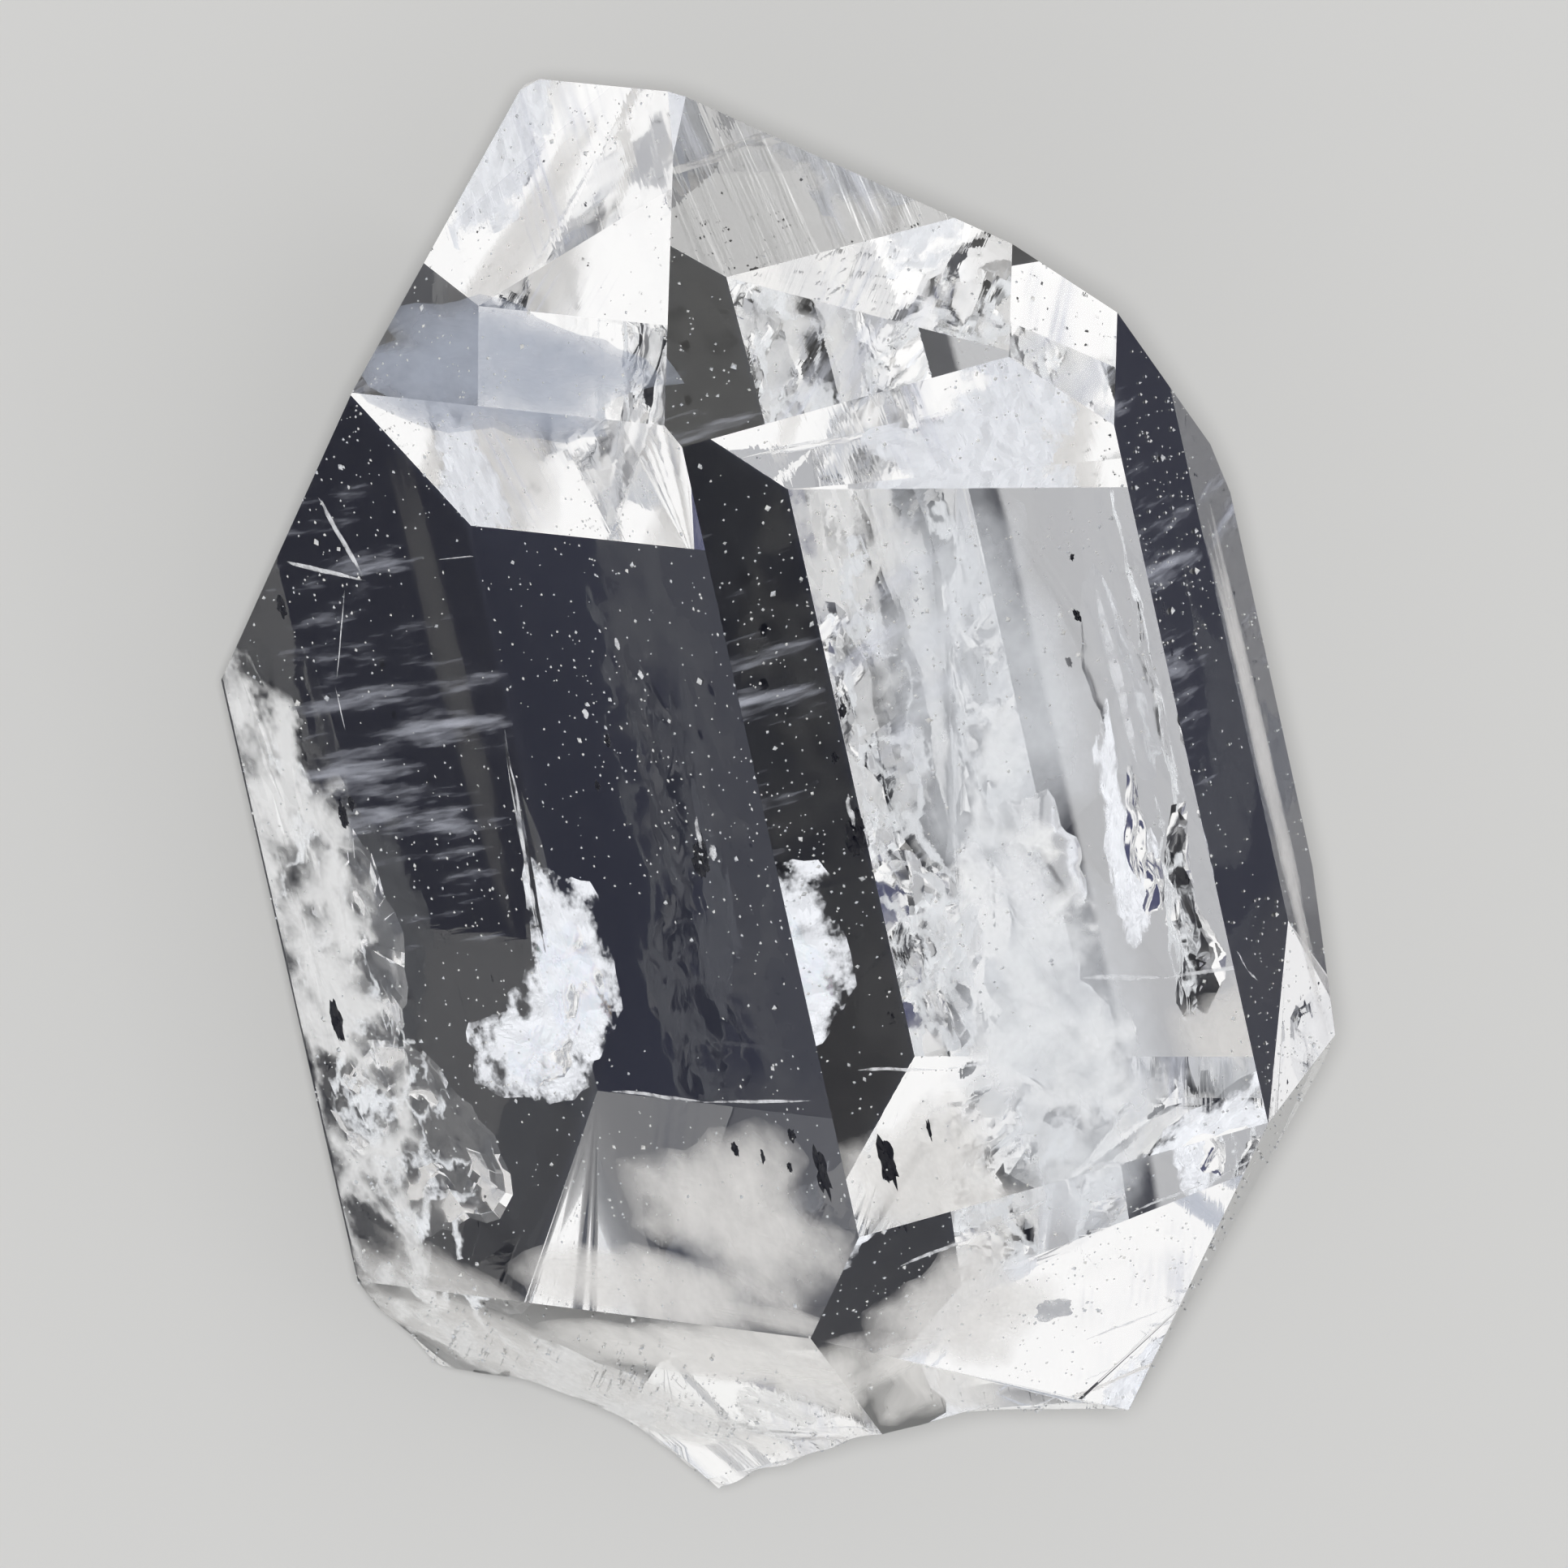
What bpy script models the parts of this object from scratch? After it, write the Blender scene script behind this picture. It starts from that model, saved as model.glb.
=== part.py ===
"""Herkimer diamond: one clear quartz crystal, lying on a prism face.

The crystal is a six-sided prism with a complete point at one end.  Its other end has parts of
the second point, and is broken off in shell-shaped scars.  Every flat face is a cut of one
block, placed by quartz's own angles and by its distance from the crystal's middle.

Frame: +X runs along the crystal to its complete point, +Z is up, and the crystal rests on the
flat prism face at z = 0.  Sizes are in millimetres until the mesh is made, in metres.
"""

import math
from collections import namedtuple

import bmesh
import bpy
from mathutils import Vector, noise

MM = 0.001

# ---------------------------------------------------------------- driving dimensions
AXIAL_RATIO = 1.1001            # quartz: length axis over side axis of its crystal cell
RHOMB_TILT = math.degrees(math.atan(2 * AXIAL_RATIO / math.sqrt(3)))
BEVEL_TILT = math.degrees(math.atan(2 * AXIAL_RATIO))
PRISM_TILT = 90.0
BLOCK_SIDE = 60.0               # block that the faces are cut from
REST_DISTANCE = 7.81            # middle of the crystal to the face it rests on

# A face's tilt is the angle of its outward normal from the length axis, and its azimuth turns
# about that axis from straight up towards -Y, the right-hand side when seen from the broken
# end.  Distances are from the middle, in millimetres.
Face = namedtuple("Face", "name azimuth tilt distance")
FACES = (
    Face("prism_top", 0, PRISM_TILT, 7.81),
    Face("prism_right_upper", 60, PRISM_TILT, 8.78),
    Face("prism_right_lower", 120, PRISM_TILT, 5.36),
    Face("prism_rest", 180, PRISM_TILT, REST_DISTANCE),
    Face("prism_left_lower", 240, PRISM_TILT, 9.08),
    Face("prism_left_upper", 300, PRISM_TILT, 5.36),
    Face("point_left_upper", 300, RHOMB_TILT, 9.17),
    Face("point_top", 0, RHOMB_TILT, 10.87),
    Face("point_right_lower", 120, RHOMB_TILT, 6.37),
    Face("point_left_lower", 240, RHOMB_TILT, 8.61),
    Face("point_bevel", 30, BEVEL_TILT, 11.20),
    Face("base_left_upper", 300, 180 - RHOMB_TILT, 9.57),
    Face("base_top", 0, 180 - RHOMB_TILT, 10.25),
    Face("base_right_upper", 60, 180 - RHOMB_TILT, 11.02),
    Face("base_right_lower", 120, 180 - RHOMB_TILT, 8.48),
)

# Narrow chips along edges: each is a small flat between two faces, or at a corner of three,
# cut this deep below the sharp edge or corner.
Chip = namedtuple("Chip", "name faces weights depth")
CHIPS = (
    Chip("apex_nick", ("point_left_upper", "point_right_lower", "point_left_lower"), (1, 1, 1), 0.11),
    Chip("crest_chip", ("point_left_upper", "point_top", "point_right_lower"), (1, 1, 0.12), 0.07),
    Chip("shoulder_chip", ("prism_right_upper", "prism_right_lower", "point_right_lower"), (1, 0.8, 1), 0.14),
    Chip("heel_chip", ("prism_right_upper", "prism_right_lower", "base_right_lower"), (1, 1, 0.5), 0.45),
)

# The broken end: shell-shaped scars, each hollow towards the crystal.  A scar passes through
# the point (y, z) of the cross-section at x, with these slopes there, and its dish has one
# radius across (along Y) and one radius in depth (along Z).
Scar = namedtuple("Scar", "name y z x slope_y slope_z radius_across radius_deep")
SCARS = (
    Scar("front_scar", -0.3, 4.0, -11.45, 0.12, 0.25, 8.5, 60.0),
    Scar("corner_scar", 7.6, -3.4, -9.86, 1.40, 0.12, 60.0, 60.0),
    Scar("side_scar", 6.1, -3.3, -11.00, 0.35, 0.12, 2.4, 60.0),
    Scar("rear_scar", -0.5, -6.8, -12.25, 0.02, -0.26, 14.0, 24.0),
)
BREAK_CELL = 0.27               # spacing of the broken end's surface grid
BREAK_REACH = 12.0              # half width of that grid
BREAK_DEPTH = 9.0               # how far the cutter runs past the broken end
RIPPLE_HEIGHT = 0.035           # low concentric ripples in the scars
RIPPLE_SPACING = 1.9
LUMP_HEIGHT = 0.12              # uneven lumps across the break
LUMP_SIZE = 2.6

CLEAR_QUARTZ = (0.93, 0.94, 0.95, 1.0)
QUARTZ_IOR = 1.544


def clear_scene():
    for obj in list(bpy.data.objects):
        bpy.data.objects.remove(obj, do_unlink=True)


def new_collection(name):
    collection = bpy.data.collections.new(name)
    bpy.context.scene.collection.children.link(collection)
    return collection


def quartz_material():
    material = bpy.data.materials.new("clear_quartz")
    material.use_nodes = True
    shader = material.node_tree.nodes["Principled BSDF"]
    shader.inputs["Base Color"].default_value = CLEAR_QUARTZ
    shader.inputs["Metallic"].default_value = 0.0
    shader.inputs["Roughness"].default_value = 0.02
    shader.inputs["IOR"].default_value = QUARTZ_IOR
    shader.inputs["Transmission Weight"].default_value = 1.0
    return material


def face_normal(face):
    """Outward normal of a crystal face, from its tilt and azimuth."""
    tilt = math.radians(face.tilt)
    azimuth = math.radians(face.azimuth)
    across = math.sin(tilt)
    return Vector((math.cos(tilt), -math.sin(azimuth) * across, math.cos(azimuth) * across))


def corner_of(faces):
    """Point where three faces meet, by Cramer's rule."""
    n1, n2, n3 = (face_normal(face) for face in faces)
    d1, d2, d3 = (face.distance for face in faces)
    volume = n1.dot(n2.cross(n3))
    return (d1 * n2.cross(n3) + d2 * n3.cross(n1) + d3 * n1.cross(n2)) / volume


def cut_flat(bm, normal, point):
    """Cut the solid with a plane, drop what lies outside, and close the cut with one face."""
    geometry = bm.verts[:] + bm.edges[:] + bm.faces[:]
    cut = bmesh.ops.bisect_plane(
        bm, geom=geometry, dist=1e-8, plane_co=point, plane_no=normal, clear_outer=True)
    rim = [item for item in cut["geom_cut"] if isinstance(item, bmesh.types.BMEdge)]
    if rim:
        bmesh.ops.edgeloop_fill(bm, edges=rim)


def crystal_mesh():
    """The block cut by every crystal face and by the chips on its corners."""
    bm = bmesh.new()
    bmesh.ops.create_cube(bm, size=BLOCK_SIDE * MM)
    for face in FACES:
        normal = face_normal(face)
        cut_flat(bm, normal, normal * face.distance * MM)
    by_name = {face.name: face for face in FACES}
    for chip in CHIPS:
        faces = [by_name[name] for name in chip.faces]
        normal = Vector()
        for face, weight in zip(faces, chip.weights):
            normal += weight * face_normal(face)
        normal.normalize()
        cut_flat(bm, normal, (corner_of(faces) - normal * chip.depth) * MM)
    bmesh.ops.recalc_face_normals(bm, faces=bm.faces[:])
    mesh = bpy.data.meshes.new("quartz_crystal")
    bm.to_mesh(mesh)
    bm.free()
    return mesh


def scar_level(scar, y, z):
    """The x of one scar's surface, a shallow dish with faint rings about its upper side."""
    dy = y - scar.y
    dz = z - scar.z
    rings = math.cos(2 * math.pi * math.hypot(dy, dz) / RIPPLE_SPACING)
    dish = dy * dy / (2 * scar.radius_across) + dz * dz / (2 * scar.radius_deep)
    return scar.x + scar.slope_y * dy + scar.slope_z * dz - dish + RIPPLE_HEIGHT * rings


def break_level(y, z):
    """The x of the broken end above a point of the cross-section."""
    lump = noise.noise(Vector((-y / LUMP_SIZE, z / LUMP_SIZE, 0.7)))
    return max(scar_level(scar, y, z) for scar in SCARS) + LUMP_HEIGHT * lump


def break_cutter_mesh():
    """A block whose +X side is the broken end's surface."""
    bm = bmesh.new()
    cells = round(2 * BREAK_REACH / BREAK_CELL)
    bmesh.ops.create_grid(bm, x_segments=cells, y_segments=cells, size=BREAK_REACH)
    for vert in bm.verts:
        y, z = vert.co.x, vert.co.y
        vert.co = Vector((break_level(y, z), y, z)) * MM
    surface = bm.faces[:]
    bmesh.ops.recalc_face_normals(bm, faces=surface)
    back = bmesh.ops.extrude_face_region(bm, geom=surface)
    far_side = (min(vert.co.x for vert in bm.verts) / MM - BREAK_DEPTH) * MM
    for item in back["geom"]:
        if isinstance(item, bmesh.types.BMVert):
            item.co.x = far_side
    bmesh.ops.recalc_face_normals(bm, faces=bm.faces[:])
    bmesh.ops.triangulate(bm, faces=bm.faces[:])
    mesh = bpy.data.meshes.new("break_cutter")
    bm.to_mesh(mesh)
    bm.free()
    return mesh


def evaluated_bounds(obj):
    """Lowest and highest corner of an object as its modifiers leave it, in its own space."""
    bpy.context.view_layer.update()
    evaluated = obj.evaluated_get(bpy.context.evaluated_depsgraph_get())
    points = [vert.co for vert in evaluated.data.vertices]
    low = Vector(min(point[axis] for point in points) for axis in range(3))
    high = Vector(max(point[axis] for point in points) for axis in range(3))
    return low, high


def main():
    clear_scene()
    parts = new_collection("herkimer_diamond")
    cutters = new_collection("cutters")

    seat = bpy.data.objects.new("crystal_seat", None)
    parts.objects.link(seat)

    crystal = bpy.data.objects.new("quartz_crystal", crystal_mesh())
    crystal.data.materials.append(quartz_material())
    crystal.parent = seat
    parts.objects.link(crystal)

    cutter = bpy.data.objects.new("break_cutter", break_cutter_mesh())
    cutter.parent = seat
    cutter.hide_render = True
    cutter.display_type = "WIRE"
    cutters.objects.link(cutter)

    broken_end = crystal.modifiers.new("broken_end", "BOOLEAN")
    broken_end.operation = "DIFFERENCE"
    broken_end.solver = "EXACT"
    broken_end.object = cutter

    # The origin goes under the middle of the crystal, on the plane it rests on.
    low, high = evaluated_bounds(crystal)
    middle = (low + high) / 2
    seat.location = (-middle.x, -middle.y, -low.z)


main()
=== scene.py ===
"""Herkimer diamond: the looks of one clear quartz crystal, lying on a prism face."""

import math
import random
from collections import namedtuple

import bmesh
import bpy
from mathutils import Matrix, Vector, noise
from mathutils.bvhtree import BVHTree


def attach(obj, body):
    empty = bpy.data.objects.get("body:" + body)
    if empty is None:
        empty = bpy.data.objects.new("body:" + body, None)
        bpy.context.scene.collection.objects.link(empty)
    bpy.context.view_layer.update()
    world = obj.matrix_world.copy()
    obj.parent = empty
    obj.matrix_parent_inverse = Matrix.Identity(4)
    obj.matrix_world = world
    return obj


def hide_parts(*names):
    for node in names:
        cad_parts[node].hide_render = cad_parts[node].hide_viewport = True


MM = 0.001

# ---------------------------------------------------------------- crystal
QUARTZ_IOR = 1.544
QUARTZ_TINT = (0.985, 0.99, 1.0, 1.0)
SHARP_EDGE = math.radians(13)   # edges steeper than this stay crisp
FACE_FLATNESS = math.radians(0.3)
LARGE_FACE = 0.3                # mm2: a flat face of the crystal, not a facet of its break
PRISM, POINT, BREAK, CRACKED, REST, FLAKED = range(6)

# in the order above: name, roughness, growth lines to a metre, their depth in millimetres
QUARTZ_FINISHES = (
    ("quartz_prism", 0.0, 900.0, 0.00015),
    ("quartz_point", 0.0, 0.0, 0.0),
    ("quartz_break", 0.10, 0.0, 0.0),
    ("quartz_crack", 0.10, 0.0, 0.0),
    ("quartz_rest", 0.0, 1300.0, 0.0004),
    ("quartz_flake", 0.10, 0.0, 0.0),
)
PRISM_LEAN = 0.1                # a prism face's normal leans along the crystal by less than this
REST_DOWN = -0.99               # the resting face's normal points down at least this much

# Growth lines run across the prism: how far they are squeezed, their fineness, and where a
# line's slope starts and ends.
GROWTH_SQUEEZE = (1.0, 0.09, 0.09)
GROWTH_DETAIL = 4.0
GROWTH_ROUGHNESS = 0.62
GROWTH_SLOPE = (0.47, 0.60)

# Fine steps and shell-shaped ripples of the broken end.
BREAK_RELIEF = 0.009            # mm
BREAK_CUTS = 2
BREAK_GRAIN = 1.7               # to a millimetre
BREAK_STEPS = (0.9, 2.1, 4)     # roughness, scale from octave to octave, octaves
RING_TURNS = 4.2                # radians to a millimetre
RING_WANDER = 3                 # radians
RING_BEND = 0.35                # to a millimetre
STEP_SHARE, RING_SHARE = 0.75, 0.25

# Cracks sealed inside the crystal, each a thin hollow lens, crumpled all over.  Its middle is in
# millimetres, along and across are its half axes, relief is how crumpled it is, grain is the
# size of a crumple, and gap is half its thickness in the middle.
Crack = namedtuple("Crack", "middle along across relief grain gap seed")
# the silvery flake deep under the left front face
FLAKE_CRACKS = (
    Crack((-3.3, 0.6, 3.95), (1.3, 0.1, 0.1), (0.1, 0.9, -0.15), 0.16, 0.9, 0.05, 1),
    Crack((-4.6, 1.7, 3.6), (0.7, 0.1, 0.1), (-0.1, 1.0, -0.15), 0.16, 0.9, 0.04, 2),
)
CRACKS = (
    # the narrow upright crack beside the flake
    Crack((-0.9, 1.15, 4.0), (2.3, -0.15, 0.0), (0.05, 0.25, 0.60), 0.08, 1.2, 0.04, 3),
    # broken ground along the lower left face
    Crack((-2.2, 5.6, 3.2), (2.7, 0.1, 0.0), (0.0, 1.0, -0.6), 0.50, 1.2, 0.05, 4),
    Crack((-6.0, 4.9, 2.6), (2.2, 0.2, 0.1), (0.1, 1.7, -1.0), 0.60, 1.2, 0.05, 5),
    # cloudy cracks under the right front face
    Crack((-3.7, -2.9, 12.0), (1.7, 0.2, 0.2), (0.1, 1.1, -0.2), 0.10, 1.6, 0.04, 8),
    Crack((-1.0, -3.2, 12.2), (1.3, 0.1, -0.2), (0.0, 0.9, 0.2), 0.10, 1.6, 0.04, 9),
)
# Frosty veils: the same lenses, but filled, pale and patchy.
# the frost on the silvery flake
SILVER_FLAKES = (
    Crack((-2.9, 0.4, 3.7), (2.1, 0.1, 0.15), (0.1, 1.3, -0.25), 0.16, 0.60, 0.03, 21),
    Crack((-4.6, 1.7, 3.3), (1.1, 0.2, 0.1), (-0.1, 1.9, -0.3), 0.16, 0.60, 0.03, 22),
    Crack((-3.9, 0.9, 3.5), (1.2, 0.1, 0.1), (-0.05, 1.5, -0.25), 0.18, 0.60, 0.03, 28),
)
# frost over the broken ground along the lower left face
FROST_NETWORKS = (
    Crack((-6.2, 4.9, 2.4), (2.4, 0.2, 0.1), (0.1, 1.5, -0.8), 0.22, 0.9, 0.03, 23),
    Crack((-2.2, 6.05, 2.5), (4.2, 0.1, 0.0), (0.0, 0.9, -0.5), 0.16, 0.8, 0.03, 24),
)
# cloudy ground: along both rims, under the right front face and under the broken end
MILKY_CLOUDS = (
    Crack((-2.0, 7.20, 3.6), (8.3, -0.1, 0.0), (0.0, -1.35, 2.20), 0.10, 1.0, 0.03, 29),
    Crack((-4.0, -2.6, 12.7), (2.3, 0.1, 0.1), (0.1, 1.6, -0.3), 0.12, 1.2, 0.03, 26),
    Crack((-0.9, -2.8, 13.0), (3.0, 0.1, -0.1), (0.0, 1.3, -0.3), 0.10, 1.2, 0.03, 27),
    Crack((-9.6, 4.4, 4.4), (-2.0, -3.4, 2.9), (1.25, 0.41, 1.25), 0.10, 0.9, 0.03, 36),
    Crack((-10.1, 1.9, 8.5), (-0.95, 0.26, -2.0), (-0.55, -0.62, 0.20), 0.06, 1.0, 0.03, 37),
)
# even haze close under the top face
MILKY_HAZES = (
    Crack((2.4, -2.5, 14.3), (4.6, 0.0, 0.0), (0.0, 2.2, 0.0), 0.06, 1.6, 0.03, 33),
    Crack((-3.8, -2.7, 14.1), (4.4, 0.0, 0.0), (0.0, 2.3, 0.0), 0.06, 1.6, 0.03, 34),
)
# cloudy ground, and a pale band above the broken end; partly haze and partly painted light, pale
# sheets that stand in for light refracted in through the broken end
BASE_HAZES_AND_PAINTED_LIGHT = (
    Crack((-7.5, -0.9, 6.0), (2.0, 0.1, 0.1), (0.1, -1.9, 3.2), 0.10, 1.4, 0.03, 35),
    Crack((-8.35, 2.1, 7.6), (0.95, 0.0, 0.0), (0.0, -2.4, 4.1), 0.05, 1.4, 0.03, 39),
    Crack((-9.55, 4.3, 4.3), (-2.3, -3.9, 3.3), (1.4, 0.46, 1.4), 0.05, 1.4, 0.03, 40),
    # along the right rim
    Crack((-0.8, -7.30, 11.60), (5.8, 0.13, 0.20), (0.0, 0.25, 0.43), 0.04, 1.0, 0.03, 32),
)
# a bluish band under the upper left face of the whole point
BLUE_HAZES = (
    Crack((8.85, 3.20, 10.4), (-0.08, -2.05, 3.6), (1.05, -0.70, -0.38), 0.04, 1.0, 0.03, 54),
)
# thin pale cracks and pits close under the left front face, and painted glints
BLADES_AND_PAINTED_GLINTS = (
    Crack((5.87, 5.92, 6.93), (-0.82, -0.20, 0.36), (0.03, -0.03, 0.06), 0.03, 0.4, 0.02, 41),
    Crack((5.15, 6.23, 6.39), (0.10, 0.52, -0.90), (0.06, 0.0, 0.01), 0.03, 0.4, 0.02, 42),
    Crack((5.67, 4.44, 9.48), (0.08, -0.26, 0.46), (0.014, 0.0, 0.0), 0.01, 0.4, 0.01, 43),
    Crack((3.98, 6.20, 6.45), (-1.03, 0.22, -0.39), (0.0, -0.008, 0.014), 0.03, 0.5, 0.01, 44),
    Crack((2.53, 6.42, 6.06), (-0.46, 0.0, 0.0), (0.0, -0.008, 0.014), 0.02, 0.5, 0.01, 45),
    Crack((-0.90, 1.20, 4.00), (1.70, -0.12, 0.0), (0.02, 0.06, 0.09), 0.03, 0.5, 0.02, 38),
    # the arc below the dark face
    Crack((-5.65, -1.00, 3.80), (0.0, -0.60, 1.02), (0.05, 0.03, 0.02), 0.03, 0.8, 0.02, 46),
    Crack((-5.54, -2.27, 6.00), (0.14, -0.74, 1.27), (0.04, 0.02, 0.02), 0.03, 0.8, 0.02, 47),
    # painted glints: pale flakes beside the specks; and three white crumbs
    Crack((0.00, -0.62, 8.90), (0.34, 0.0, 0.05), (0.02, 0.06, -0.03), 0.08, 0.2, 0.02, 48),
    Crack((-0.35, -0.85, 8.95), (0.16, 0.0, 0.05), (0.0, 0.10, -0.05), 0.08, 0.2, 0.02, 49),
    Crack((4.39, 2.64, 12.61), (0.12, 0.0, 0.0), (0.0, -0.04, 0.07), 0.05, 0.2, 0.02, 50),
    Crack((3.02, 3.25, 11.55), (0.10, 0.0, 0.0), (0.0, -0.04, 0.08), 0.05, 0.2, 0.02, 51),
    Crack((3.87, 2.43, 12.98), (0.09, 0.0, 0.0), (0.0, -0.04, 0.06), 0.05, 0.2, 0.02, 52),
)
# a small grey patch just under the lower right face of the broken end
GREY_MARKS = (
    Crack((-8.90, -1.84, 13.12), (-0.18, -0.40, -0.14), (0.29, -0.10, 0.23), 0.0, 1.0, 0.01, 53),
)
# where growth lines show on the resting face
STREAKS = (
    Crack((1.2, 2.0, 0.12), (6.0, 0.0, 0.0), (0.0, 4.0, 0.0), 0.0, 1.0, 0.01, 31),
)
VEILS = (SILVER_FLAKES, FROST_NETWORKS, MILKY_CLOUDS, MILKY_HAZES, BASE_HAZES_AND_PAINTED_LIGHT, BLUE_HAZES,
         BLADES_AND_PAINTED_GLINTS, GREY_MARKS, STREAKS)
# One finish to each kind of veil, in the same order: its name and colour, then the inputs of the
# frost cover group in their order.
FrostFinish = namedtuple("FrostFinish", "name colour grain stretch cells clear full most rim")
FROST_FINISHES = (
    FrostFinish("silver_flake", (0.94, 0.96, 1.0, 1.0), 1300.0, (1.0, 1.0, 1.0), 0.2,
                0.26, 0.50, 0.97, 0.16),
    FrostFinish("frost_network", (0.88, 0.90, 0.92, 1.0), 1000.0, (0.8, 1.0, 1.0), 1.0,
                0.44, 0.66, 0.85, 0.10),
    FrostFinish("milky_cloud", (0.94, 0.94, 0.93, 1.0), 620.0, (1.0, 1.0, 1.0), 0.6,
                0.28, 0.62, 0.88, 0.22),
    FrostFinish("milky_haze", (0.74, 0.76, 0.79, 1.0), 450.0, (1.0, 1.0, 1.0), 0.0,
                -0.10, 0.85, 0.66, 0.50),
    # haze, partly painted light from the broken end
    FrostFinish("base_haze_and_painted_light", (0.92, 0.90, 0.87, 1.0), 700.0, (1.0, 1.0, 1.0), 0.0,
                -0.40, 0.90, 0.84, 0.75),
    FrostFinish("blue_haze", (0.46, 0.50, 0.59, 1.0), 900.0, (1.0, 0.4, 0.4), 0.0,
                -0.40, 0.80, 0.80, 0.45),
    # pale cracks and pits, and the painted glints beside the specks
    FrostFinish("pale_blade_and_painted_glint", (0.94, 0.95, 0.97, 1.0), 3000.0, (1.0, 1.0, 1.0), 0.0,
                0.26, 0.62, 0.72, 0.10),
    FrostFinish("grey_mark", (0.46, 0.47, 0.50, 1.0), 2000.0, (1.0, 1.0, 1.0), 0.0,
                0.10, 0.60, 0.62, 0.05),
    FrostFinish("growth_streak", (0.62, 0.64, 0.72, 1.0), 2300.0, (1.0, 0.12, 1.0), 0.0,
                0.46, 0.76, 0.38, 0.15),
)
UNDER_FACE = 0.06               # mm of clear quartz left over a veil
CRACK_FILM = 480.0              # nm, for a faint play of colour on the flake
CRACK_RINGS = 12
CRACK_SPOKES = 38
SEED_STEP = (7.3, 3.1, 5.7)     # how far apart in the noise two seeds lie
RIM_MEAN = 0.82                 # a lens's outline: its mean, its bays and its notches
RIM_BAYS = (0.34, 1.4)          # depth, and how many
RIM_NOTCHES = (0.12, 5)
CHIP_SHARE, WAVE_SHARE = 0.9, 0.5       # of a lens's crumples
WAVE_STEPS = (1.2, 2.2, 3)      # roughness, scale from octave to octave, octaves

# Frost: its fineness, how far its cell walls wander in metres, how wide and how strong they are,
# and how late a veil thins out towards its rim.
FROST_DETAIL = 4.0
FROST_ROUGHNESS = 0.66
WALL_WANDER = 0.0011
WALL_WIDTH = 0.16
WALL_STRENGTH = 0.16
RIM_POWER = 3.0
VEIL_ROUGHNESS = 0.6

# Black carbon specks: middle in millimetres, size, and how drawn out each is along the crystal.
Speck = namedtuple("Speck", "middle size stretch seed")
SPECKS = (
    Speck((4.37, 6.89, 5.26), 0.14, 1.2, 11), Speck((0.61, 6.70, 5.57), 0.15, 1.4, 12),
    Speck((0.83, 6.55, 5.80), 0.10, 1.0, 13), Speck((-3.28, 7.40, 4.36), 0.20, 1.5, 14),
    Speck((0.95, -1.34, 4.62), 0.10, 1.0, 15), Speck((0.08, -1.08, 4.16), 0.08, 1.0, 16),
    Speck((-0.51, -0.61, 8.71), 0.24, 1.2, 17), Speck((-0.30, -0.72, 8.80), 0.10, 2.4, 18),
    Speck((-5.40, 0.53, 12.89), 0.21, 1.7, 19), Speck((-4.45, 1.66, 13.79), 0.13, 0.8, 20),
    Speck((-4.83, 2.43, 12.45), 0.11, 1.0, 21), Speck((-4.92, 2.09, 13.04), 0.07, 1.5, 22),
    Speck((-5.05, 1.75, 13.55), 0.08, 1.0, 23), Speck((4.50, -4.57, 15.20), 0.05, 1.0, 24),
    Speck((-4.60, -0.05, 15.10), 0.05, 3.2, 25),
)
SPECK_CUTS = 3
SPECK_GRAIN = 1.5               # lumps, to a speck's size
SPECK_RELIEF = 0.75             # against the speck's size
SPECK_STEPS = (0.7, 2.0, 4)     # roughness, scale from octave to octave, octaves
SPECK_FLATNESS = (0.6, 0.5)     # its width and height against its length
SPECK_SEED_STEP = (1.7, 2.9, 0)

# Dust on the faces: chips to a square millimetre, and half the width of a chip.
DUST_DENSITY = 17.0
DUST_RADIUS = (0.011, 0.030)
DUST_SEED = 7
DUST_ON_SIDES = 0.35            # a steep face's share of the dust on a level one
DUST_DRIFT = 0.28               # how fine the drifts are, to a millimetre
DUST_LEVELS = (-0.55, 0.35)     # a chip needs a drift above a level drawn from here
BIG_CHIPS = 0.08                # this share of them is larger
BIG_CHIP = 1.8                  # by this much
CHIP_REACH = (0.6, 1.5)         # each corner's distance, against half the width
CHIP_SUNK = 0.5                 # how far a chip's lowest corner may go down
CHIP_SIDES = ((0, 1, 2), (1, 3, 2), (3, 4, 2), (4, 0, 2), (1, 0, 5), (3, 1, 5), (4, 3, 5), (0, 4, 5))

# spots to a metre, the two tones, and their roughness
CARBON_LOOK = (9000.0, ((0.004, 0.004, 0.006, 1.0), (0.018, 0.018, 0.024, 1.0)), (0.35, 0.7))
DUST_LOOK = (7000.0, ((0.94, 0.94, 0.92, 1.0), (0.74, 0.77, 0.82, 1.0)), (0.7, 0.95))
SPOT_DETAIL = 4.0
SPOT_EDGES = (0.38, 0.62)       # where the first tone ends and the second is full

# ---------------------------------------------------------------- camera and light
LENS = 1000.0                   # mm, long enough to keep edges parallel
SENSOR = 36.0
FRAME_WIDTH = 26.66             # mm across the picture
CAMERA_BACK = Vector((0.2908, 0.1671, 0.9421))
CAMERA_UP = Vector((0.9337, -0.2644, -0.2414))
CAMERA_TARGET = Vector((0.625, 0.310, 10.888))
CAMERA_CLIP = (0.01, 10)        # m
FLOOR_HALF = 1.2                # m
FLOOR_DROP = 0.05               # mm, so that it doesn't cut into the resting face
FLOOR_ROUGHNESS = 0.9
FLOOR_COLOUR = (0.80, 0.80, 0.79, 1.0)
# painted dark reflection: the colour that reflection rays see on the floor beside the pale strip
FLOOR_PAINTED_REFLECTION = (0.160, 0.170, 0.250, 1.0)
PALE_STRIP = (0.0025, 0.0155)   # m, middle and half width of the floor that stays pale in reflections
ROOM_COLOUR = (1.04, 1.03, 1.01, 1.0)
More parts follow.
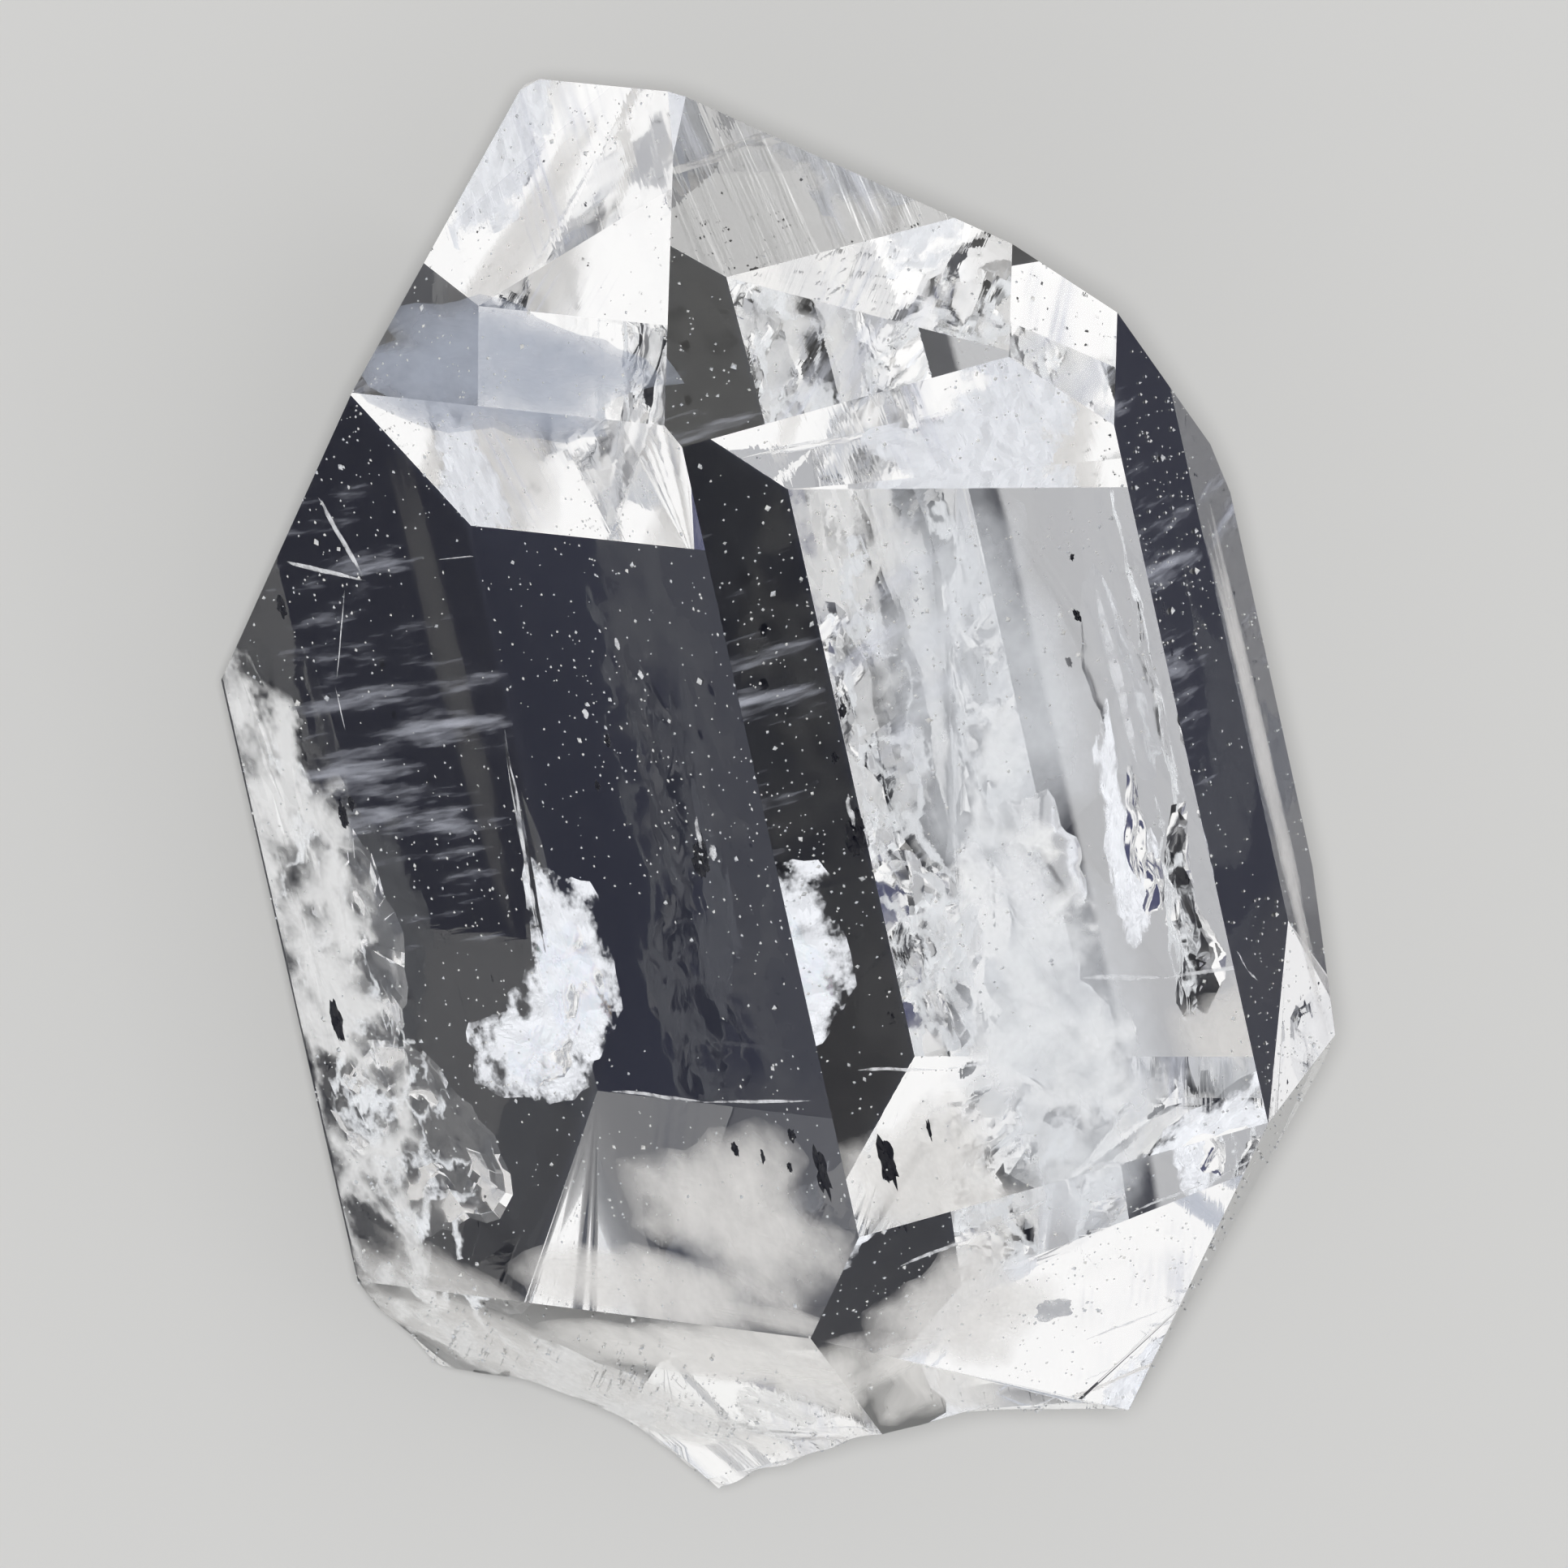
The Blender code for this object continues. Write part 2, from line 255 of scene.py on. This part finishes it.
# Dark cards in the bright room: the direction of each from the crystal, and its half width.
DARK_CARDS = (
    ((-0.291, -0.167, 0.942), 14.0),    # mirrored in the top face
    ((-0.290, 0.880, 0.380), 13.0),     # mirrored inside the left front face
)
CARD_EDGE = 3.0                 # degrees, how softly a card ends
CARD_COLOUR = (0.075, 0.080, 0.150, 1.0)
ROOM_ON_ROUGH = 0.26            # how much of the room's light rough surfaces take
SHADE_COLOUR = (0.024, 0.028, 0.052, 1.0)   # what they take instead when seen through the crystal
KEY_STRENGTH = 1.9
INNER_STRENGTH = 3.15
INNER_FILL = 2.8
KEY_SPREAD = 5                  # degrees
INNER_SPREAD = 150
LIGHT_BOUNCES = 14              # light turns many times inside a clear crystal


def new_material(name, colour, roughness):
    material = bpy.data.materials.new(name)
    material.use_nodes = True
    shader = material.node_tree.nodes["Principled BSDF"]
    shader.inputs["Base Color"].default_value = colour
    shader.inputs["Roughness"].default_value = roughness
    return material, shader


def quartz_material(name, roughness):
    material, shader = new_material(name, QUARTZ_TINT, roughness)
    shader.inputs["IOR"].default_value = QUARTZ_IOR
    shader.inputs["Transmission Weight"].default_value = 1.0
    return material, shader


def feed(tree, socket, value):
    """Link the value to a socket, or set it there if it's a plain number or colour."""
    if isinstance(value, bpy.types.NodeSocket):
        tree.links.new(value, socket)
    else:
        socket.default_value = value


def add_math(tree, operation, *values):
    step = tree.nodes.new("ShaderNodeMath")
    step.operation = operation
    for socket, value in zip(step.inputs, values):
        feed(tree, socket, value)
    return step.outputs[0]


def add_range(tree, value, before=(0.0, 1.0), after=(0.0, 1.0), smooth=False):
    """The value, moved from the range before to the range after."""
    step = tree.nodes.new("ShaderNodeMapRange")
    step.interpolation_type = "SMOOTHSTEP" if smooth else "LINEAR"
    for name, number in zip(("Value", "From Min", "From Max", "To Min", "To Max"),
                            (value, *before, *after)):
        feed(tree, step.inputs[name], number)
    return step.outputs[0]


def add_mix(tree, share, first, second):
    """The first colour, with the given share of the second."""
    mix = tree.nodes.new("ShaderNodeMix")
    mix.data_type = "RGBA"
    for name, value in (("Factor", share), ("A", first), ("B", second)):
        feed(tree, mix.inputs[name], value)
    return mix.outputs["Result"]


def new_group(name, inputs, outputs):
    """A node group with its named inputs and outputs, and the node at either end."""
    group = bpy.data.node_groups.new(name, "ShaderNodeTree")
    for socket, kind, value in inputs:
        inward = group.interface.new_socket(socket, in_out="INPUT", socket_type="NodeSocket" + kind)
        inward.default_value = value
    for socket, kind in outputs:
        group.interface.new_socket(socket, in_out="OUTPUT", socket_type="NodeSocket" + kind)
    return group, group.nodes.new("NodeGroupInput"), group.nodes.new("NodeGroupOutput")


def link_piece(name, mesh):
    piece = bpy.data.objects.new(name, mesh)
    bpy.context.scene.collection.objects.link(piece)
    return piece


def growth_line_group():
    """Faint growth lines that run across the prism, as a height."""
    group, start, end = new_group("growth_lines", (("Spacing", "Float", 1.0),),
                                  (("Height", "Float"),))
    nodes, links = group.nodes, group.links
    place = nodes.new("ShaderNodeTexCoord")
    squeeze = nodes.new("ShaderNodeMapping")
    squeeze.inputs["Scale"].default_value = GROWTH_SQUEEZE
    lines = nodes.new("ShaderNodeTexNoise")
    lines.inputs["Detail"].default_value = GROWTH_DETAIL
    lines.inputs["Roughness"].default_value = GROWTH_ROUGHNESS
    links.new(place.outputs["Object"], squeeze.inputs["Vector"])
    links.new(squeeze.outputs[0], lines.inputs["Vector"])
    links.new(start.outputs["Spacing"], lines.inputs["Scale"])
    steps = nodes.new("ShaderNodeValToRGB")
    for stop, position in zip(steps.color_ramp.elements, GROWTH_SLOPE):
        stop.position = position
    links.new(lines.outputs[0], steps.inputs[0])
    links.new(steps.outputs[0], end.inputs["Height"])
    return group


def add_growth_lines(material, shader, group, spacing, depth):
    tree = material.node_tree
    lines = tree.nodes.new("ShaderNodeGroup")
    lines.node_tree = group
    lines.inputs["Spacing"].default_value = spacing
    bump = tree.nodes.new("ShaderNodeBump")
    bump.inputs["Strength"].default_value = 1.0
    bump.inputs["Distance"].default_value = depth * MM
    tree.links.new(lines.outputs["Height"], bump.inputs["Height"])
    tree.links.new(bump.outputs[0], shader.inputs["Normal"])


def roughen_break(bm):
    """Fine ripples and steps over the broken end, still at its rim and at the flat faces."""
    broken = [face for face in bm.faces if face.material_index == BREAK]
    inner = list({edge for face in broken for edge in face.edges
                  if all(other.material_index == BREAK for other in edge.link_faces)})
    bmesh.ops.subdivide_edges(bm, edges=inner, cuts=BREAK_CUTS, use_grid_fill=True)
    bmesh.ops.triangulate(bm, faces=[face for face in bm.faces if face.material_index == BREAK])
    bm.normal_update()
    moves = {}
    for vert in bm.verts:
        if vert.link_faces and all(face.material_index == BREAK for face in vert.link_faces):
            place = vert.co / MM
            coarse = noise.fractal(place * BREAK_GRAIN, *BREAK_STEPS)
            bend = RING_WANDER * noise.noise(place * RING_BEND)
            rings = math.sin(place.length * RING_TURNS + bend)
            moves[vert] = (STEP_SHARE * coarse + RING_SHARE * rings) * BREAK_RELIEF * MM
    for vert, height in moves.items():
        vert.co += vert.normal * height


def add_lens(bm, crack, hollow, material_index):
    """One crumpled lens.  A hollow one has its faces turned inwards, as the wall of a hole."""
    middle, along, across = Vector(crack.middle), Vector(crack.along), Vector(crack.across)
    out = along.cross(across).normalized()
    reach_of = bm.verts.layers.float.get("reach") or bm.verts.layers.float.new("reach")
    offset = Vector([crack.seed * step for step in SEED_STEP])

    def wall(ring, spoke, side):
        angle = 2 * math.pi * spoke / CRACK_SPOKES
        turn = Vector((math.cos(angle), math.sin(angle), 0))
        reach = ring / CRACK_RINGS
        edge = RIM_MEAN
        for depth, count in (RIM_BAYS, RIM_NOTCHES):
            edge += depth * noise.noise(turn * count + offset)
        flat = (along * turn.x + across * turn.y) * reach * edge
        place = (middle + flat) / crack.grain + offset
        chips = noise.voronoi(place)[0]
        bumps = CHIP_SHARE * (chips[1] - chips[0]) + WAVE_SHARE * noise.fractal(place, *WAVE_STEPS)
        gap = crack.gap * (1 - reach ** 2) * side
        return (middle + flat + out * (crack.relief * bumps + gap)) * MM

    def corner(ring, spoke, side):
        vert = bm.verts.new(wall(ring, spoke, side))
        vert[reach_of] = ring / CRACK_RINGS
        return vert

    rim = [corner(CRACK_RINGS, spoke, 0) for spoke in range(CRACK_SPOKES)]
    for side in (1, -1):
        rings = [[corner(ring, spoke, side) for spoke in range(CRACK_SPOKES)]
                 for ring in range(1, CRACK_RINGS)]
        rings.append(rim)
        hub = corner(0, 0, side)
        for spoke in range(CRACK_SPOKES):
            after = (spoke + 1) % CRACK_SPOKES
            corners = [[hub, rings[0][spoke], rings[0][after]]]
            corners += [[near[spoke], far[spoke], far[after], near[after]]
                        for near, far in zip(rings, rings[1:])]
            for loop in corners:
                face = bm.faces.new(loop[::-1] if (side > 0) == hollow else loop)
                face.material_index = material_index
                face.smooth = False


def make_crystal(frame):
    """The solid with its flat faces whole and crisp, and its broken end smooth."""
    mesh = frame["nodes"]["quartz_crystal"].data.copy()
    mesh.name = "crystal"
    mesh.materials.clear()
    bm = bmesh.new()
    bm.from_mesh(mesh)
    bmesh.ops.remove_doubles(bm, verts=bm.verts[:], dist=1e-7)
    bmesh.ops.dissolve_limit(
        bm, angle_limit=FACE_FLATNESS, verts=bm.verts[:], edges=bm.edges[:])
    for face in bm.faces:
        flat = face.calc_area() > LARGE_FACE * MM * MM
        face.smooth = not flat
        prism = abs(face.normal.x) < PRISM_LEAN
        face.material_index = (PRISM if prism else POINT) if flat else BREAK
        if flat and face.normal.z < REST_DOWN:
            face.material_index = REST
    roughen_break(bm)
    for crack in FLAKE_CRACKS:
        add_lens(bm, crack, True, FLAKED)
    for crack in CRACKS:
        add_lens(bm, crack, True, CRACKED)
    bm.to_mesh(mesh)
    bm.free()
    mesh.set_sharp_from_angle(angle=SHARP_EDGE)
    lines = growth_line_group()
    for name, roughness, spacing, depth in QUARTZ_FINISHES:
        material, shader = quartz_material(name, roughness)
        if name == "quartz_flake":
            shader.inputs["Thin Film Thickness"].default_value = CRACK_FILM
        if depth:
            add_growth_lines(material, shader, lines, spacing, depth)
        mesh.materials.append(material)
    crystal = link_piece("crystal", mesh)
    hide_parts("quartz_crystal")
    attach(crystal, "root")
    return crystal


def frost_cover_group():
    """How much of a veil or streak is there: grainy patches, with pale lines along their cells."""
    group, start, end = new_group("frost_cover", (
        ("Grain", "Float", 1000.0), ("Stretch", "Vector", (1.0, 1.0, 1.0)),
        ("Cells", "Float", 0.0), ("Clear Below", "Float", 0.4), ("Full Above", "Float", 0.6),
        ("Most Cover", "Float", 1.0), ("Rim Fade", "Float", 0.1), ("Reach", "Float", 0.0),
    ), (("Cover", "Float"),))
    nodes, links, given = group.nodes, group.links, start.outputs
    place = nodes.new("ShaderNodeTexCoord")
    squeeze = nodes.new("ShaderNodeVectorMath")
    squeeze.operation = "MULTIPLY"
    links.new(place.outputs["Object"], squeeze.inputs[0])
    links.new(given["Stretch"], squeeze.inputs[1])
    grains = nodes.new("ShaderNodeTexNoise")
    grains.inputs["Detail"].default_value = FROST_DETAIL
    grains.inputs["Roughness"].default_value = FROST_ROUGHNESS
    links.new(squeeze.outputs[0], grains.inputs["Vector"])
    links.new(given["Grain"], grains.inputs["Scale"])
    # the cells' walls wander with the grain
    wander = nodes.new("ShaderNodeVectorMath")
    wander.operation = "MULTIPLY_ADD"
    wander.inputs[1].default_value = (WALL_WANDER, WALL_WANDER, WALL_WANDER)
    links.new(grains.outputs["Color"], wander.inputs[0])
    links.new(squeeze.outputs[0], wander.inputs[2])
    cells = nodes.new("ShaderNodeTexVoronoi")
    cells.feature = "DISTANCE_TO_EDGE"
    links.new(wander.outputs[0], cells.inputs["Vector"])
    links.new(given["Grain"], cells.inputs["Scale"])
    walls = add_range(group, cells.outputs["Distance"], (0.0, WALL_WIDTH),
                      (WALL_STRENGTH, -WALL_STRENGTH))
    mixed = add_math(group, "MULTIPLY_ADD", walls, given["Cells"], grains.outputs[0])
    outer = add_math(group, "POWER", given["Reach"], RIM_POWER)
    fade = add_math(group, "MULTIPLY", outer, given["Rim Fade"])
    faded = add_math(group, "SUBTRACT", mixed, fade)
    cover = add_range(group, faded, (given["Clear Below"], given["Full Above"]),
                      (0.0, given["Most Cover"]), smooth=True)
    links.new(cover, end.inputs["Cover"])
    return group


def frost_material(finish, group):
    """Pale frost, haze or faint streaks that thin out into clear patches."""
    material, shader = new_material(finish.name, finish.colour, VEIL_ROUGHNESS)
    tree = material.node_tree
    cover = tree.nodes.new("ShaderNodeGroup")
    cover.node_tree = group
    for socket, value in zip(cover.inputs, finish[2:]):
        socket.default_value = value
    reach = tree.nodes.new("ShaderNodeAttribute")
    reach.attribute_name = "reach"
    tree.links.new(reach.outputs["Fac"], cover.inputs["Reach"])
    tree.links.new(cover.outputs["Cover"], shader.inputs["Alpha"])
    return material


def keep_inside(bm, frame):
    """Trim what would come out through a face, so that it ends just under that face."""
    solid = frame["nodes"]["quartz_crystal"].data
    walls = BVHTree.FromPolygons([vert.co for vert in solid.vertices],
                                 [tuple(face.vertices) for face in solid.polygons])
    for vert in bm.verts:
        nearest, outward = walls.find_nearest(vert.co)[:2]
        if (nearest - vert.co).dot(outward) < UNDER_FACE * MM:
            vert.co = nearest - outward * UNDER_FACE * MM


def make_veils(frame):
    """All the filled lenses as one piece, with the finish of its kind on each."""
    bm = bmesh.new()
    for number, veils in enumerate(VEILS):
        for veil in veils:
            add_lens(bm, veil, False, number)
    keep_inside(bm, frame)
    mesh = bpy.data.meshes.new("white_veils")
    bm.to_mesh(mesh)
    bm.free()
    group = frost_cover_group()
    for finish in FROST_FINISHES:
        mesh.materials.append(frost_material(finish, group))
    veils = link_piece("white_veils", mesh)
    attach(veils, "root")
    return veils


def mottle_group():
    """Two tones mixed in small uneven spots."""
    group, start, end = new_group("mottle", (
        ("Spots", "Float", 9000.0), ("Tone", "Color", (1.0, 1.0, 1.0, 1.0)),
        ("Other Tone", "Color", (0.5, 0.5, 0.5, 1.0)),
    ), (("Colour", "Color"), ("Spot", "Float")))
    nodes, links, given = group.nodes, group.links, start.outputs
    place = nodes.new("ShaderNodeTexCoord")
    spots = nodes.new("ShaderNodeTexNoise")
    spots.inputs["Detail"].default_value = SPOT_DETAIL
    links.new(place.outputs["Object"], spots.inputs["Vector"])
    links.new(given["Spots"], spots.inputs["Scale"])
    share = add_range(group, spots.outputs[0], SPOT_EDGES)
    links.new(add_mix(group, share, given["Tone"], given["Other Tone"]), end.inputs["Colour"])
    links.new(share, end.inputs["Spot"])
    return group


def mottled_material(name, group, spots, tones, roughness):
    """A matt material in two tones, rougher where the second tone shows."""
    material, shader = new_material(name, tones[0], roughness[0])
    tree = material.node_tree
    mottle = tree.nodes.new("ShaderNodeGroup")
    mottle.node_tree = group
    mottle.inputs["Spots"].default_value = spots
    mottle.inputs["Tone"].default_value = tones[0]
    mottle.inputs["Other Tone"].default_value = tones[1]
    tree.links.new(mottle.outputs["Colour"], shader.inputs["Base Color"])
    rough = add_range(tree, mottle.outputs["Spot"], after=roughness)
    tree.links.new(rough, shader.inputs["Roughness"])
    return material


def make_specks(mottle):
    """Irregular black crumbs of carbon, sealed inside the crystal."""
    bm = bmesh.new()
    for speck in SPECKS:
        made = bmesh.ops.create_icosphere(bm, subdivisions=SPECK_CUTS, radius=1.0)
        offset = Vector([speck.seed * step for step in SPECK_SEED_STEP])
        for vert in made["verts"]:
            bump = 1 + SPECK_RELIEF * noise.fractal(vert.co * SPECK_GRAIN + offset, *SPECK_STEPS)
            shaped = Vector((vert.co.x * speck.stretch, vert.co.y * SPECK_FLATNESS[0],
                             vert.co.z * SPECK_FLATNESS[1])) * bump
            vert.co = (Vector(speck.middle) + shaped * speck.size) * MM
    mesh = bpy.data.meshes.new("carbon_specks")
    bm.to_mesh(mesh)
    bm.free()
    mesh.materials.append(mottled_material("black_carbon", mottle, *CARBON_LOOK))
    specks = link_piece("carbon_specks", mesh)
    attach(specks, "root")


def make_dust(crystal, mottle):
    """Pale angular chips on every face that looks up or sideways."""
    draw = random.Random(DUST_SEED)
    points, sides = [], []
    source = crystal.data
    source.calc_loop_triangles()
    for triangle in source.loop_triangles:
        sealed = source.polygons[triangle.polygon_index].material_index in (CRACKED, FLAKED)
        if sealed or triangle.normal.z < 0:
            continue
        corners = [source.vertices[index].co for index in triangle.vertices]
        up = triangle.normal
        share = DUST_ON_SIDES + (1 - DUST_ON_SIDES) * up.z
        count = triangle.area / MM ** 2 * DUST_DENSITY * share
        count = int(count) + (draw.random() < count % 1)
        for _ in range(count):
            a, b = sorted((draw.random(), draw.random()))
            place = corners[0] * a + corners[1] * (b - a) + corners[2] * (1 - b)
            if noise.noise(place / MM * DUST_DRIFT) < draw.uniform(*DUST_LEVELS):
                continue
            size = draw.uniform(*DUST_RADIUS) * (BIG_CHIP if draw.random() < BIG_CHIPS else 1.0) * MM
            turn = Matrix.Rotation(draw.uniform(0, 2 * math.pi), 3, up)
            along = turn @ up.orthogonal().normalized()
            across = up.cross(along)
            middle = place + up * size * 0.5
            reach = [size * draw.uniform(*CHIP_REACH) for _ in range(6)]
            first = len(points)
            points += [middle + along * reach[0], middle + across * reach[1], middle + up * reach[2],
                       middle - along * reach[3], middle - across * reach[4],
                       middle - up * min(reach[5], size * CHIP_SUNK)]
            sides += [[first + corner for corner in side] for side in CHIP_SIDES]
    mesh = bpy.data.meshes.new("dust_grains")
    mesh.from_pydata(points, [], sides)
    mesh.validate()
    mesh.materials.append(mottled_material("pale_dust", mottle, *DUST_LOOK))
    dust = link_piece("dust_grains", mesh)
    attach(dust, "root")


def make_floor():
    """The pale floor, with a painted dark reflection: the crystal mirrors it as if a black card lay
    on it to either side.
    """
    mesh = bpy.data.meshes.new("floor")
    bm = bmesh.new()
    bmesh.ops.create_grid(bm, x_segments=1, y_segments=1, size=FLOOR_HALF)
    bm.to_mesh(mesh)
    bm.free()
    floor = link_piece("floor", mesh)
    floor.location.z = -FLOOR_DROP * MM
    material, shader = new_material("pale_floor_and_painted_reflection", FLOOR_COLOUR, FLOOR_ROUGHNESS)
    tree = material.node_tree
    path = tree.nodes.new("ShaderNodeLightPath")
    place = tree.nodes.new("ShaderNodeNewGeometry")
    sideways = tree.nodes.new("ShaderNodeSeparateXYZ")
    tree.links.new(place.outputs["Position"], sideways.inputs[0])
    # Painted dark reflection: outside the pale strip, reflection rays see the floor in a dark colour.
    strip_middle, strip_half = PALE_STRIP
    off_middle = add_math(tree, "SUBTRACT", sideways.outputs["Y"], strip_middle)
    painted_reflection_zone = add_math(tree, "GREATER_THAN", add_math(tree, "ABSOLUTE", off_middle), strip_half)
    mirrored = add_math(tree, "MULTIPLY", painted_reflection_zone, path.outputs["Is Reflection Ray"])
    colour = add_mix(tree, mirrored, FLOOR_COLOUR, FLOOR_PAINTED_REFLECTION)
    tree.links.new(colour, shader.inputs["Base Color"])
    mesh.materials.append(material)


def make_camera():
    """A long lens, far enough back that the frame is as wide as FRAME_WIDTH at the target."""
    data = bpy.data.cameras.new("camera")
    data.lens = LENS
    data.sensor_width = SENSOR
    data.clip_start, data.clip_end = CAMERA_CLIP
    camera = bpy.data.objects.new("camera", data)
    bpy.context.scene.collection.objects.link(camera)
    back = CAMERA_BACK.normalized()
    up = (CAMERA_UP - CAMERA_UP.dot(back) * back).normalized()
    right = up.cross(back)
    distance = FRAME_WIDTH / 2 / math.tan(math.atan(SENSOR / 2 / LENS))
    matrix = Matrix((right, up, back)).transposed().to_4x4()
    matrix.translation = (CAMERA_TARGET + back * distance) * MM
    camera.matrix_world = matrix
    bpy.context.scene.camera = camera


def make_sun(name, strength, spread, source):
    """A sun that shines from the source direction, spread over that many degrees."""
    data = bpy.data.lights.new(name, "SUN")
    data.energy = strength
    data.angle = math.radians(spread)
    data.cycles.use_multiple_importance_sampling = False
    sun = bpy.data.objects.new(name, data)
    sun.rotation_mode = "QUATERNION"
    sun.rotation_quaternion = (-source).to_track_quat("-Z", "Y")
    bpy.context.scene.collection.objects.link(sun)
    return sun


def light_crystal(crystal, veils):
    """A key for the floor, dust and specks, and two soft suns for the veils alone."""
    key = make_sun("key", KEY_STRENGTH, KEY_SPREAD, CAMERA_BACK)
    # The key doesn't shine through the crystal, so that its shadow stays deep.
    unlit = bpy.data.collections.new("unlit_by_key")
    for piece in (crystal, veils):
        unlit.objects.link(piece)
    for member in unlit.collection_objects:
        member.light_linking.link_state = "EXCLUDE"
    key.light_linking.receiver_collection = unlit
    # The light that reaches the veils from both sides, through the clear quartz round them.
    frosted = bpy.data.collections.new("lit_inside")
    frosted.objects.link(veils)
    for name, strength, source in (("inner_key", INNER_STRENGTH, CAMERA_BACK),
                                   ("inner_fill", INNER_FILL, -CAMERA_BACK)):
        inner = make_sun(name, strength, INNER_SPREAD, source)
        inner.light_linking.receiver_collection = frosted
        inner.data.use_shadow = False


def make_room():
    """A soft bright room with two dark cards in it."""
    world = bpy.data.worlds.new("room")
    bpy.context.scene.world = world
    world.use_nodes = True
    tree = world.node_tree
    tree.nodes.clear()
    output = tree.nodes.new("ShaderNodeOutputWorld")
    background = tree.nodes.new("ShaderNodeBackground")
    tree.links.new(background.outputs[0], output.inputs[0])
    where = tree.nodes.new("ShaderNodeTexCoord")
    colour = ROOM_COLOUR
    for direction, half_width in DARK_CARDS:
        facing = tree.nodes.new("ShaderNodeVectorMath")
        facing.operation = "DOT_PRODUCT"
        facing.inputs[1].default_value = Vector(direction).normalized()
        tree.links.new(where.outputs["Generated"], facing.inputs[0])
        ends = [math.cos(math.radians(angle)) for angle in (half_width + CARD_EDGE, half_width)]
        card = add_range(tree, facing.outputs["Value"], ends)
        colour = add_mix(tree, card, colour, CARD_COLOUR)
    # Rough surfaces take little light from the room.  Where they are seen through the crystal
    # they take an even shade instead, so that the key's shadow stays a deep blue-black there.
    path = tree.nodes.new("ShaderNodeLightPath")
    rough = path.outputs["Is Diffuse Ray"]
    through = add_math(tree, "GREATER_THAN", path.outputs["Transmission Depth"], 0.5)
    in_shade = add_math(tree, "MULTIPLY", through, rough)
    tree.links.new(add_mix(tree, in_shade, colour, SHADE_COLOUR), background.inputs["Color"])
    on_rough = add_range(tree, through, after=(ROOM_ON_ROUGH, 1.0))
    strength = add_range(tree, rough, after=(1.0, on_rough))
    tree.links.new(strength, background.inputs["Strength"])
    world.cycles.sampling_method = "NONE"


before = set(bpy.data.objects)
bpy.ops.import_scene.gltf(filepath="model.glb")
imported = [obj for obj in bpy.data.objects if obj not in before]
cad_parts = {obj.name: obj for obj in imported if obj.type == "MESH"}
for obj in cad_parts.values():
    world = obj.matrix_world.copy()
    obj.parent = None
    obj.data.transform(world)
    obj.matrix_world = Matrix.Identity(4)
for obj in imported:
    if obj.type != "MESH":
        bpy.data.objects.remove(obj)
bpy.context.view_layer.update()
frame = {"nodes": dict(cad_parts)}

crystal = make_crystal(frame)
veils = make_veils(frame)
mottle = mottle_group()
make_specks(mottle)
make_dust(crystal, mottle)
make_floor()
make_camera()
light_crystal(crystal, veils)
make_room()
cycles = bpy.context.scene.cycles
cycles.max_bounces = LIGHT_BOUNCES
cycles.transmission_bounces = LIGHT_BOUNCES
cycles.glossy_bounces = LIGHT_BOUNCES
cycles.diffuse_bounces = 0      # nothing pale lights up the shadow under the crystal
bpy.context.scene.view_settings.view_transform = "Standard"
